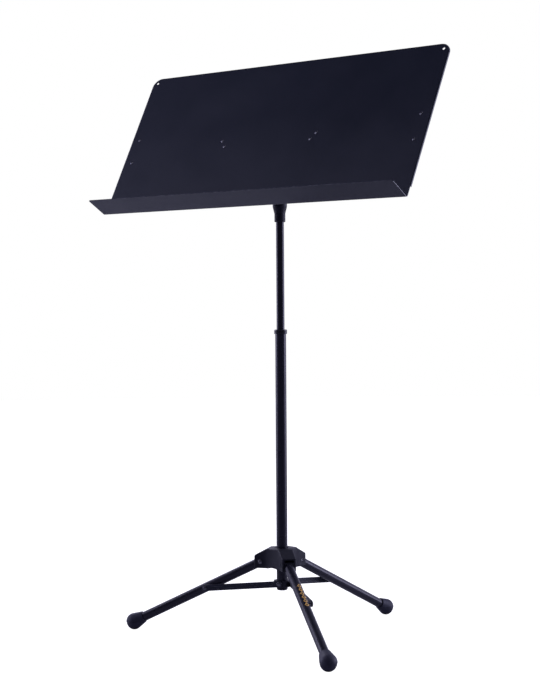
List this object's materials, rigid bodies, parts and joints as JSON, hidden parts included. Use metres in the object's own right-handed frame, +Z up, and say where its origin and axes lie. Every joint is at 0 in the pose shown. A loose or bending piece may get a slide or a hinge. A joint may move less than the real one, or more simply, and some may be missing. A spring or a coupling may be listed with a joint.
{
  "type": "music stand",
  "caption": "Folding orchestra music stand: wide one-piece steel desk with ledge, tilting head, telescopic tube with friction clutch, and collapsible braced tripod.",
  "frame": {"origin": "on the floor, at the middle of the stand's bounding box seen from above; the tube's axis is 56 mm in front of it (at Y = -0.056)", "axes": "+Z up along the tube, -Y the side the desk faces, +X to the right of someone looking along +Y at the desk"},
  "size_m": [0.73, 0.5482, 1.1611],
  "materials": {
    "powder_coated_sheet": "fine-textured satin black powder coat with a cool blue cast",
    "coated_tube": "smooth semi-gloss black powder coat on steel tube",
    "moulded_nylon": "glass-filled black nylon, matt with a fine moulded grain",
    "plain_plastic": "plain black acetal, smooth and slightly waxy",
    "foot_rubber": "matt black rubber with faint moulding marks",
    "black_steel": "black-coated pressed steel",
    "blackened_rivet": "blackened steel rivet with worn crown",
    "zinc_plated_steel": "zinc-plated turned steel"
  },
  "bodies": {
    "pole": {"lower_tube": "coated_tube", "tube_end_cap": "plain_plastic", "clutch_collar": "plain_plastic", "guide_bush": "plain_plastic", "brace_ring": "black_steel", "brace_ring_pin_front": "blackened_rivet", "brace_ring_pin_rear": "blackened_rivet", "brace_ring_pin_left": "blackened_rivet"},
    "hub": {"leg_hub": "moulded_nylon", "leg_hinge_pin_front": "blackened_rivet", "leg_hinge_pin_rear": "blackened_rivet", "leg_hinge_pin_left": "blackened_rivet"},
    "hub_lock": {"hub_lock_screw": "zinc_plated_steel", "hub_lock_knob": "moulded_nylon"},
    "leg_front": {"leg_tube_front": "coated_tube", "leg_tongue_front": "moulded_nylon", "rubber_foot_front": "foot_rubber"},
    "leg_rear": {"leg_tube_rear": "coated_tube", "leg_tongue_rear": "moulded_nylon", "rubber_foot_rear": "foot_rubber"},
    "leg_left": {"leg_tube_left": "coated_tube", "leg_tongue_left": "moulded_nylon", "rubber_foot_left": "foot_rubber"},
    "brace_front": {"brace_bar_front": "powder_coated_sheet", "brace_rivet_front": "blackened_rivet"},
    "brace_rear": {"brace_bar_rear": "powder_coated_sheet", "brace_rivet_rear": "blackened_rivet"},
    "brace_left": {"brace_bar_left": "powder_coated_sheet", "brace_rivet_left": "blackened_rivet"},
    "height_clutch": {"clutch_plug": "plain_plastic"},
    "mast": {"upper_tube": "coated_tube", "tilt_head": "moulded_nylon", "friction_washer_right": "plain_plastic", "friction_washer_left": "plain_plastic"},
    "desk": {"desk_plate": "powder_coated_sheet", "desk_bracket": "black_steel", "tilt_bolt": "zinc_plated_steel", "tilt_lock_nut": "zinc_plated_steel", "side_stiffener_left": "powder_coated_sheet", "side_stiffener_right": "powder_coated_sheet", "edge_rivet_left_lower": "blackened_rivet", "edge_rivet_left_upper": "blackened_rivet", "edge_rivet_right_lower": "blackened_rivet", "edge_rivet_right_upper": "blackened_rivet", "bracket_rivet_left_inner": "blackened_rivet", "bracket_rivet_left_outer": "blackened_rivet", "bracket_rivet_right_inner": "blackened_rivet", "bracket_rivet_right_outer": "blackened_rivet"}
  },
  "joints": [
    {"name": "hub_slide", "type": "slide", "parent": "pole", "child": "hub", "axis": [0, 0, 1], "range_m": [0, 0.2385]},
    {"name": "leg_fold_front", "type": "hinge", "parent": "hub", "child": "leg_front", "pos_m": [0.0325, -0.08263, 0.15202], "axis": [0.6334, 0.7738, 0], "range_deg": [0, 63.83]},
    {"name": "leg_fold_rear", "type": "hinge", "parent": "hub", "child": "leg_rear", "pos_m": [0.00679, -0.01458, 0.15202], "axis": [-0.9869, 0.1616, 0], "range_deg": [0, 63.83]},
    {"name": "leg_fold_left", "type": "hinge", "parent": "hub", "child": "leg_left", "pos_m": [-0.03929, -0.07087, 0.15202], "axis": [0.3535, -0.9354, 0], "range_deg": [0, 63.83]},
    {"name": "brace_fold_front", "type": "hinge", "parent": "pole", "child": "brace_front", "pos_m": [0.0117, -0.04647, 0.1085], "axis": [-0.6334, -0.7738, 0], "range_deg": [0, 80.75]},
    {"name": "brace_fold_rear", "type": "hinge", "parent": "pole", "child": "brace_rear", "pos_m": [-0.01412, -0.05068, 0.1085], "axis": [0.9869, -0.1616, 0], "range_deg": [0, 80.75]},
    {"name": "brace_fold_left", "type": "hinge", "parent": "pole", "child": "brace_left", "pos_m": [0.00243, -0.07093, 0.1085], "axis": [-0.3535, 0.9354, 0], "range_deg": [0, 80.75]},
    {"name": "hub_lock_turn", "type": "hinge", "parent": "hub", "child": "hub_lock", "pos_m": [-0.02708, -0.03386, 0.15902], "axis": [-0.7738, 0.6334, 0], "range_deg": [-180, 360]},
    {"name": "height_slide", "type": "slide", "parent": "pole", "child": "height_clutch", "axis": [0, 0, 1], "range_m": [-0.21, 0.225]},
    {"name": "mast_swivel", "type": "hinge", "parent": "height_clutch", "child": "mast", "pos_m": [0, -0.05603, 0.6195], "axis": [0, 0, 1], "continuous": true},
    {"name": "desk_tilt", "type": "hinge", "parent": "mast", "child": "desk", "pos_m": [0, -0.05603, 0.975], "axis": [1, 0, 0], "range_deg": [-61, 25]}
  ],
  "couplings": [
    {"joint": "leg_fold_front", "follows": "hub_slide", "rad_per_m": 4.6673},
    {"joint": "leg_fold_rear", "follows": "hub_slide", "rad_per_m": 4.6673},
    {"joint": "leg_fold_left", "follows": "hub_slide", "rad_per_m": 4.6673},
    {"joint": "brace_fold_front", "follows": "hub_slide", "rad_per_m": 5.9057},
    {"joint": "brace_fold_rear", "follows": "hub_slide", "rad_per_m": 5.9057},
    {"joint": "brace_fold_left", "follows": "hub_slide", "rad_per_m": 5.9057}
  ]
}
